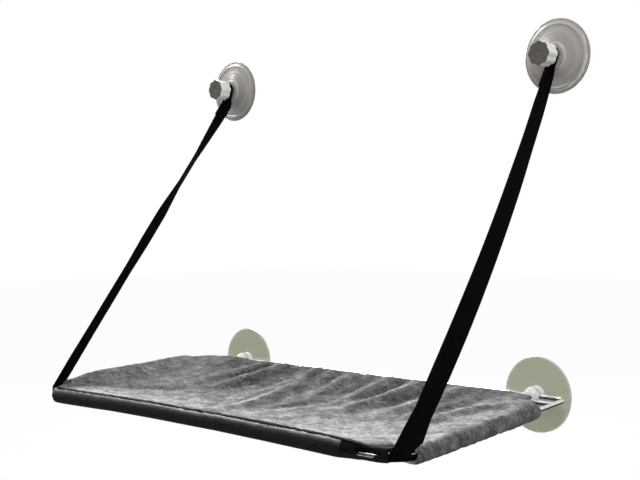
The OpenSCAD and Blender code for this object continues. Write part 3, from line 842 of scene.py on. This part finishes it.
# The flat cut is laid on the mat with gentle waves, and its wings are wrapped round the rods
corner_fade_w, wave_fade_w = 0.012, 0.03
wave_h, small_wave_h = 0.0010, 0.0007
across, forwards = flat_places(cover)
edge_x, edge_s = np.clip(across, x_left, x_right), np.clip(forwards, crossbar_in, frame_depth)
inner_x, inner_s = drawn(edge_x, edge_s)
on_wing = np.abs(across - edge_x) + np.abs(forwards - edge_s)
kept_share = np.clip(on_wing / corner_fade_w, 0, 1)
inner_x = inner_x + (edge_x - inner_x) * kept_share
inner_s = inner_s + (edge_s - inner_s) * kept_share
places = np.stack([inner_x, inner_s], 1)
waves = wave_h * rumple(places, 0.045, 3.1) + small_wave_h * rumple(places, 0.017, 7.7)
front_fade = 1 - bump_of((inner_s - frame_depth) / seam_w)
x, s = inner_x, inner_s
z = mat_z(x, s) + plush_t / 2 + waves * front_fade
for past_rod, limit, sign in ((across < x_left, x_left, 1), (across > x_right, x_right, -1)):
    away = np.abs(across - limit)
    tail_at = limit + sign * np.maximum(0, away - plush_turn)
    inward, up = wing(away, plush_r, ridge_z(limit, forwards), base_z(tail_at, forwards))
    x = np.where(past_rod, inner_x + sign * inward, x)
    z = np.where(past_rod, up + waves * np.clip(1 - away / wave_fade_w, 0, 1), z)
past_rod = forwards < crossbar_in
away = np.abs(forwards - crossbar_in)
tail_at = crossbar_in + np.maximum(0, away - plush_turn)
inward, up = wing(away, plush_r, 0, base_z(across, tail_at))
s = np.where(past_rod, crossbar_in + inward, s)
z = np.where(past_rod, up + waves * np.clip(1 - away / wave_fade_w, 0, 1), z)
place_all(cover, on_perch(x, s, z))
thicken(cover, plush_t, levels=1)

straight, upright = on_perch(0, 1, 0) - on_perch(0, 0, 0), on_perch(0, 0, 1) - on_perch(0, 0, 0)


def from_rear_rod(points):
    """How far points are from the rear rod's middle, forwards and upwards on the perch."""
    return (points - on_perch(0, 0, 0)) @ straight, (points - on_perch(0, 0, 0)) @ upright


# The pile stands in tufts, the front edge curls down to its seam, and the backing holds up the underside
tuft_h, pile_proud, tuft_slant = 0.00058, 0.0004, np.array([[1, 0.5], [-0.3, 1.4]])
curl_w, curl_h, curl_out = 0.009, 0.0115, 0.0034
over_base, most_lift = 0.0002, 0.0070
points = np.array([v.co for v in cover.data.vertices])
normals = np.array([v.normal for v in cover.data.vertices])
tufts = rumple(points[:, :2], 0.0042, 1.3) + 0.7 * rumple(points[:, [0, 2]], 0.0031, 5.9)
tufts += 0.9 * rumple(points[:, :2] @ tuft_slant, 0.009, 9.1)
points += normals * (tuft_h * tufts + pile_proud)[:, None]
forward, height = from_rear_rod(points)
curl = np.clip((forward - frame_depth + curl_w) / curl_w, 0, 1.2) ** 2
rise = curl * (curl_h + lift_z(points[:, 0]) - height)
points += upright * rise[:, None] + straight * (curl_out * curl)[:, None]
over_backing = ((np.abs(points[:, 0] - middle_x) < half_w - 2 * rod_r) & (forward > crossbar_in + 2 * rod_r)
                & (forward < frame_depth - 2 * rod_r) & (normals @ upright < 0.3))
sunk = base_z(points[:, 0], forward) + over_base - height
held_up = over_backing & (sunk > 0) & (sunk < most_lift)
points += upright * np.where(held_up, sunk, 0)[:, None]
place_all(cover, points)

# Painted light and shade on the plush, worked out from its slopes: lighter where the cloth rises to the
# right or the front and towards the front edge, darker towards the rear, and painted shade on the left
# ridge's inner slope and on the side wings
slope_step = 0.011
forward_share, right_share, front_share = 0.55, 1.7, 1.1
ridge_shade, ridge_shade_in, ridge_shade_w = 0.60, 0.024, 0.034
wing_shade, wing_border = 0.14, 0.003
across, forward = points[:, 0], from_rear_rod(points)[0]
to_right = mat_z(across + slope_step, forward) - mat_z(across - slope_step, forward)
to_front = mat_z(across, forward + slope_step) - mat_z(across, forward - slope_step)
painted_lightness = (0.50 + forward_share * (forward / frame_depth - 0.6)
       + right_share * to_right / (2 * slope_step) + front_share * to_front / (2 * slope_step))
painted_lightness = np.clip(painted_lightness - ridge_shade * bump_of((across - x_left - ridge_shade_in) / ridge_shade_w), 0, 1)
on_side = np.clip((np.abs(across - middle_x) - half_w + wing_border) / (2 * wing_border), 0, 1)
painted_lightness += (wing_shade - painted_lightness) * on_side
painted_light_layer = cover.data.attributes.new("painted_light", "FLOAT", "POINT")
painted_light_layer.data.foreach_set("value", painted_lightness.astype(np.float32))
smooth(cover, 180)

plush, tree, shader, where = new_material(
    "grey_plush", Roughness=0.95, Sheen_Weight=0.28, Sheen_Roughness=0.45, Specular_IOR_Level=0.05)
combed = put_node(tree, "ShaderNodeMapping",
                  {"Vector": where, "Scale": (1.0, 1.9, 1.0), "Rotation": (0, 0, 0.5)})
crushed = grain(tree, where, 62.0, 5.0, Roughness=0.68)
streaks = grain(tree, combed.outputs[0], 200.0, 3.0, Roughness=0.7, Distortion=0.6)
hairs = grain(tree, where, 1500.0, 2.0)
pile = weighed(tree, (crushed, 0.50), (streaks, 0.36), (hairs, 0.14))
# The painted light and shade stored on the mesh lightens and darkens the plush's colour
painted_light = put_node(tree, "ShaderNodeAttribute", attribute_name="painted_light").outputs["Fac"]
uneven, light_offset = maths(tree, "SUBTRACT", pile, 0.5), maths(tree, "SUBTRACT", painted_light, 0.5)
tone = maths(tree, "ADD", weighed(tree, (uneven, 1.6), (light_offset, 0.30)), 0.5)
coloured(tree, shader, tone, (0.30, (0.045, 0.043, 0.044)), (0.5, (0.20, 0.198, 0.204)),
         (0.70, (0.62, 0.616, 0.62)))
bumped(tree, shader, pile, 0.006)
cover.data.materials.append(plush)
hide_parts("plush_panel", "rear_flap", "side_flap_left", "side_flap_right")
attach(cover, "perch")


# Backing: a panel of thin black satin nylon, sewn under the plush inside the rods. It carries the
# loop strips that the wings' hook strips close on.
backing_in = 2 * rod_r + soft_gap
backing_t = 0.001
backing_step = 0.006
pucker_h = 0.0004
backing = flat_grid("backing_nylon",
                    lines(backing_step, x_left + backing_in, front_x0, rear_x0, front_x1, rear_x1,
                          x_right - backing_in),
                    lines(backing_step, crossbar_in + backing_in, side_s0, side_s1,
                          frame_depth - backing_in))
x, s = drawn(*flat_places(backing), backing_in)
puckers = pucker_h * rumple(np.stack([x, s], 1), 0.012, 11.0)
place_all(backing, on_perch(x, s, base_z(x, s) - soft_gap - backing_t + np.minimum(0, puckers)))
thicken(backing, backing_t * 0.5, levels=1, offset=-1.0)
smooth(backing, 60)

# Plain weave: threads that cross, from a place measured along the cloth in metres
weave_group, given, gives = new_group(
    "Weave", [("Vector", "NodeSocketVector", None), ("Across", "NodeSocketFloat", 2000.0),
              ("Along", "NodeSocketFloat", 2000.0)], [("Height", "NodeSocketFloat")])
tree = weave_group
split = put_node(tree, "ShaderNodeSeparateXYZ", {0: given["Vector"]})
warp = maths(tree, "SINE", maths(tree, "MULTIPLY", split.outputs["X"], given["Across"]))
weft = maths(tree, "SINE", maths(tree, "MULTIPLY", split.outputs["Y"], given["Along"]))
both = maths(tree, "ADD", maths(tree, "MULTIPLY", maths(tree, "MULTIPLY", warp, weft), 0.5), 0.5)
tree.links.new(both, gives["Height"])

nylon, tree, shader, where = new_material(
    "satin_nylon", Roughness=0.36, Specular_IOR_Level=1.0, Coat_Weight=0.7, Coat_Roughness=0.30)
threads = use_group(tree, weave_group, {"Vector": where, "Across": 9000.0, "Along": 9000.0})["Height"]
cloud = clouds(tree, where, 70.0, 420.0)
coloured(tree, shader, cloud, (0.3, (0.0015, 0.0015, 0.0015)), (0.7, (0.004, 0.0038, 0.0035)))
bumped(tree, shader, weighed(tree, (threads, 0.05), (cloud, 1.0)), 0.0018)
backing.data.materials.append(nylon)
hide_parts("backing_panel")
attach(backing, "perch")


# Front sleeve: a padded strip of the same black nylon, sewn to the front edge of the plush. It wraps
# round the front rod and goes in under the mat, and it puckers where it is bunched near its right end.
sleeve_t = 0.0045
sleeve_r = wrap_r + sleeve_t / 2
sleeve_turn = math.pi * sleeve_r
sleeve_wing = sleeve_turn + tail_w
loose_end_w = 0.032
sleeve_end = front_x1 + loose_end_w
sleeve_w = sleeve_end - front_x0
lip_x0 = front_x1 - 0.018
lip_in = 0.036
front_bend = 0.030
slit_middle = sleeve_turn * 0.36
slit_in, slit_half_w, slit_half_h = 0.010, 0.0150, 0.0025
slim_share, slim_w = 0.28, 0.030
over_left = 0.006
tail_ease_w = 0.020
lift_from, lift_over = 0.003, 0.008
bunch_all, bunch_right, bunch_left = 0.35, 1.3, 0.5
crinkle_h, broad_crinkle_h = 0.0008, 0.0004
top_share = 1.60
lip_slope, lip_hang = 0.05, 0.12
sleeve = flat_grid("front_sleeve_nylon", lines(0.0033, front_x0, lip_x0, sleeve_end),
                   lines(0.0016, -lip_in, 0, sleeve_wing))

# How far the puffy front of the sleeve hangs below its rod's middle, at places right of the left rod
hang_places = [0, 0.040, 0.135, 0.205, 0.315, 0.390, 0.455, 0.485, 0.515, 0.562]
hangs = [0.0062, 0.0065, 0.0036, 0.0032, 0.0035, 0.0048, 0.0070, 0.0082, 0.0072, 0.0062]


def opened(x, away):
    """True in the slit that bares the rod near the right end, and where the lip or the tail isn't needed."""
    along = (x - front_x1 - slit_in) / slit_half_w
    slit = abs(away - slit_middle) < slit_half_h * (1 - along ** 2)
    return slit or (x > front_x1 and away > sleeve_turn) or (x < lip_x0 and away < 0)


cut_away(sleeve, opened)
x, away = flat_places(sleeve)
lip = np.clip(-away, 0, None)
away = np.clip(away, 0, None)
turned_down = np.clip(away / sleeve_turn, 0, 1)
x = front_x0 - over_left + (x - front_x0) * (sleeve_w + over_left) / sleeve_w
slim = 1 - slim_share * np.clip((x - front_x1 + slim_w) / slim_w, 0, 1)
bent = np.clip(np.abs(x - middle_x) - half_w + front_bend, 0, None)
rod_s = frame_depth - front_bend + np.sqrt(front_bend ** 2 - bent ** 2)
tail_at = frame_depth - np.maximum(0, away - sleeve_turn)
inward, up = wing(away, sleeve_r, 0, base_z(x, tail_at))
on_rod = away < sleeve_turn
droop = np.interp(x - x_left, hang_places, hangs) / (sleeve_r + 0.45 * sleeve_t)
past = bump_of((away - sleeve_turn) / tail_ease_w)
up = np.where(up > 0, up * top_share, np.where(on_rod, up * droop, up + sleeve_r * (1 - droop) * past))
up = up * np.where(on_rod, slim, 1) + lift_z(x) * np.clip((up + lift_from) / lift_over, 0, 1)

# The lip goes in under the plush, and beyond the plush's corner it hangs a little
under_plush = np.where(x < front_x1, mat_z(x, rod_s - lip) + plush_t * 0.4, up - lip_hang * lip)
up = np.where(lip > 0, np.minimum(up - lip_slope * lip, under_plush), up)
inward = np.where(on_rod, inward * slim, inward) + lip
bunch = (bunch_all + bunch_right * bump_of((x - front_x1 + 0.01) / 0.06)
         + bunch_left * bump_of((x - front_x0) / 0.03))
crinkle = crinkle_h * bunch * rumple(np.stack([x, away * 0.3], 1), 0.010, 2.2)
crinkle += broad_crinkle_h * rumple(np.stack([x, away], 1), 0.05, 8.4)
crinkle *= 1 - turned_down
place_all(sleeve, on_perch(x, rod_s - inward + crinkle, up + crinkle))
thicken(sleeve, sleeve_t * 0.9, levels=1)
smooth(sleeve, 60)

# The loose end and the lip show the cloth's dull uncoated side
dull, tree, shader, where = new_material("dull_nylon", Roughness=0.85, Specular_IOR_Level=0.05)
cloud = clouds(tree, where, 90.0, 700.0)
coloured(tree, shader, cloud, (0.3, (0.003, 0.003, 0.003)), (0.7, (0.010, 0.010, 0.0095)))
bumped(tree, shader, cloud, 0.0008)
sleeve.data.materials.append(nylon)
sleeve.data.materials.append(dull)
dull_from, dull_over = front_x1 - 0.022, 0.0005
middles = np.array([face.center for face in sleeve.data.polygons])
is_dull = (from_rear_rod(middles)[1] > dull_over) & (middles[:, 0] > dull_from)
sleeve.data.polygons.foreach_set("material_index", is_dull.astype(np.int32))
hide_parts("front_sleeve")
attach(sleeve, "perch")


# Hook and loop strips: woven black tape, 18 mm wide. The loop strips are sewn to the backing and the
# hook strips to the tails of the wings, so the cover closes on itself under the mat.
strip_w, strip_t = 0.018, 0.001
strip_in = (tail_w - strip_w) / 2 + 2 * rod_r
loop_drop = backing_t + 2 * soft_gap
hook_drop = backing_t + strip_t + 3 * soft_gap
hook_tape, tree, shader, where = new_material("hook_tape", Roughness=0.6, Specular_IOR_Level=0.3)
hooks = put_node(tree, "ShaderNodeTexVoronoi", {"Vector": where, "Scale": 900.0}).outputs["Distance"]
coloured(tree, shader, hooks, (0.1, (0.05, 0.05, 0.05)), (0.6, (0.012, 0.012, 0.012)))
bumped(tree, shader, maths(tree, "SUBTRACT", 1.0, hooks), 0.0006)
loop_tape, tree, shader, where = new_material("loop_tape", Roughness=0.9, Specular_IOR_Level=0.2)
fuzz = grain(tree, where, 1100.0, 4.0)
coloured(tree, shader, fuzz, (0.35, (0.010, 0.010, 0.010)), (0.65, (0.040, 0.040, 0.040)))
bumped(tree, shader, fuzz, 0.0008)

for kind, drop, tape in (("loop", loop_drop, loop_tape), ("hook", hook_drop, hook_tape)):
    for edge, start, stop in (("front", front_x0, front_x1), ("rear", rear_x0, rear_x1),
                              ("left", side_s0, side_s1), ("right", side_s0, side_s1)):
        strip = flat_grid(f"{kind}_tape_{edge}", lines(backing_step, start, stop),
                          lines(backing_step, strip_in, strip_in + strip_w))
        along, inward = flat_places(strip)
        x = {"left": x_left + inward, "right": x_right - inward}.get(edge, along)
        s = {"front": frame_depth - inward, "rear": crossbar_in + inward}.get(edge, along)
        place_all(strip, on_perch(x, s, base_z(x, s) - drop - strip_t / 2))
        thicken(strip, strip_t * 0.8)
        face_outwards(strip)
        smooth(strip, 40)
        strip.data.materials.append(tape)
        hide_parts(f"{kind}_strip_{edge}")
        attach(strip, "perch")


# Straps: 25 mm black webbing with a sewn loop at each end. The upper loop is gathered on the stud
# behind the knob, and the lower one goes round the bend of the frame's front corner.
strap_w, strap_t = 0.025, 0.0015
gather_w = 0.0064
strap_drop = 0.018
slack = 0.012
sewn_l = 0.024
corner_drop = 0.014
corner_turn = math.radians(50)
corner_span = math.radians(54)
corner_end_share = 0.7
stud_loop_r = stud_r + soft_gap + strap_t / 2
corner_loop_r = wrap_r + strap_t / 2
loop_base = collar_top + soft_gap

# The share of its width that the webbing has, and its turn in degrees, at even steps down its run
width_shares = [0.62, 0.9] + 9 * [1]
turns = {-1: [92, 116, 130, 130, 116, 115, 120, 119, 119, 117, 120],
         1: [92, 95, 97, 93, 91, 89, 87, 86, 87, 90, 70]}

# The rows of points that the webbing is drawn with, and the pleats across its upper loop
columns = 13
run_steps = 110
loop_steps = 28
sewn_steps = 6
pleat_depth = 0.0050
spots = np.linspace(-1, 1, columns)
pleats = pleat_depth * (1 - np.abs((2 * spots + 2) % 2 - 1))


def unit(v):
    """A direction 1 long."""
    return v / np.linalg.norm(v)


def perch_way(side, turn):
    """Outwards from the middle of a front bend, at a turn round it."""
    return on_perch(side * np.sin(turn), np.cos(turn), 0) - on_perch(0, 0, 0)


def round_corner(side, turn, angle):
    """The middle of the webbing round a front corner."""
    centre = on_perch(x_right - front_bend if side > 0 else x_left + front_bend, frame_depth - front_bend, 0)
    return centre + perch_way(side, turn) * (front_bend + corner_loop_r * math.cos(angle)) \
        + upright * corner_loop_r * math.sin(angle)


def part_way(values, t):
    """A value at a share of the way through a list, in line between its entries."""
    place = t * (len(values) - 1)
    i = min(int(place), len(values) - 2)
    return values[i] + (values[i + 1] - values[i]) * (place - i)


webbing, tree, shader, where = new_material("black_webbing", Roughness=0.8, Specular_IOR_Level=0.02)
flat_place = put_node(tree, "ShaderNodeUVMap", uv_map="cloth").outputs[0]
threads = use_group(tree, weave_group, {"Vector": flat_place, "Across": 5600.0, "Along": 3700.0})["Height"]
cloud = clouds(tree, where, 50.0, 500.0)
tone = weighed(tree, (threads, 0.5), (cloud, 0.5))
coloured(tree, shader, tone, (0.3, (0.0018, 0.0018, 0.0018)), (0.7, (0.0050, 0.0050, 0.0050)))
bumped(tree, shader, threads, 0.00025)

for side_name, way in both_sides:
    loop_centre = np.array([way * upper_out, -(loop_base + gather_w / 2), upper_up])
    head = loop_centre - [0, 0, strap_drop]
    to_corner = round_corner(way, corner_turn, 0) - head
    meet = math.atan2(to_corner @ perch_way(way, corner_turn), -to_corner @ upright)
    foot = round_corner(way, corner_turn, meet)
    span = foot - head
    run, long = unit(span), np.linalg.norm(span)
    fall = unit(np.array([0, -run[2], run[1]]))
    doubled = strap_t + soft_gap

    def run_row(t, off=0.0, narrow=1.0):
        """Points across the webbing at a share of its run, moved off its face and narrowed."""
        turn = math.radians(part_way(turns[way], t))
        level = np.array([math.cos(turn), math.sin(turn), 0])
        across = unit(level - (level @ run) * run)
        width = strap_w * narrow * part_way(width_shares, t)
        sagged = slack * (way > 0) * math.sin(math.pi * t)
        middle = head + span * t + fall * sagged + np.cross(run, across) * off
        return middle + np.outer(spots, across) * width / 2

    lift = math.asin(stud_loop_r / strap_drop)
    wrap = math.pi + math.atan2(2 * corner_loop_r - doubled, corner_drop)
    rows = [run_row(t / long, -doubled) for t in np.linspace(sewn_l, 0, sewn_steps)]
    for a in np.linspace(math.pi + lift, -lift, loop_steps):
        rows.append(loop_centre + np.outer(stud_loop_r + pleats, [math.cos(a), 0, math.sin(a)])
                    + np.outer(spots, [0, gather_w / 2, 0]))
    rows += [run_row(t) for t in np.linspace(0, 1, run_steps)[:-1]]
    for u in np.linspace(0, 1, loop_steps):
        half_span = corner_span * (1 + u * (corner_end_share - 1)) / 2
        rows.append(np.array([round_corner(way, corner_turn + spot * half_span, meet - wrap * u)
                              for spot in spots]))
    sewn = np.linspace(corner_drop, corner_drop + sewn_l, sewn_steps)
    rows += [run_row(1 - t / long, -way * doubled, corner_end_share) for t in sewn]
    rows = np.array(rows)
    strap = add_piece(f"strap_{side_name}_webbing", bpy.ops.mesh.primitive_grid_add,
                      x_subdivisions=columns - 1, y_subdivisions=len(rows) - 1, size=1, calc_uvs=True)
    flat = np.array([v.co for v in strap.data.vertices])
    j = np.rint((flat[:, 0] + 0.5) * (columns - 1)).astype(int)
    i = np.rint((flat[:, 1] + 0.5) * (len(rows) - 1)).astype(int)
    place_all(strap, rows[i, j])
    row_gaps = np.linalg.norm(np.diff(rows[:, columns // 2], axis=0), axis=1)
    steps_long = np.concatenate([[0], np.cumsum(row_gaps)])
    strap.data.uv_layers[0].name = "cloth"
    for loop in strap.data.loops:
        k = loop.vertex_index
        strap.data.uv_layers["cloth"].data[loop.index].uv = (spots[j[k]] * strap_w / 2, steps_long[i[k]])
    thicken(strap, strap_t)
    face_outwards(strap)
    smooth(strap, 50)
    strap.data.materials.append(webbing)
    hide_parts(f"strap_{side_name}")
    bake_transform(strap)
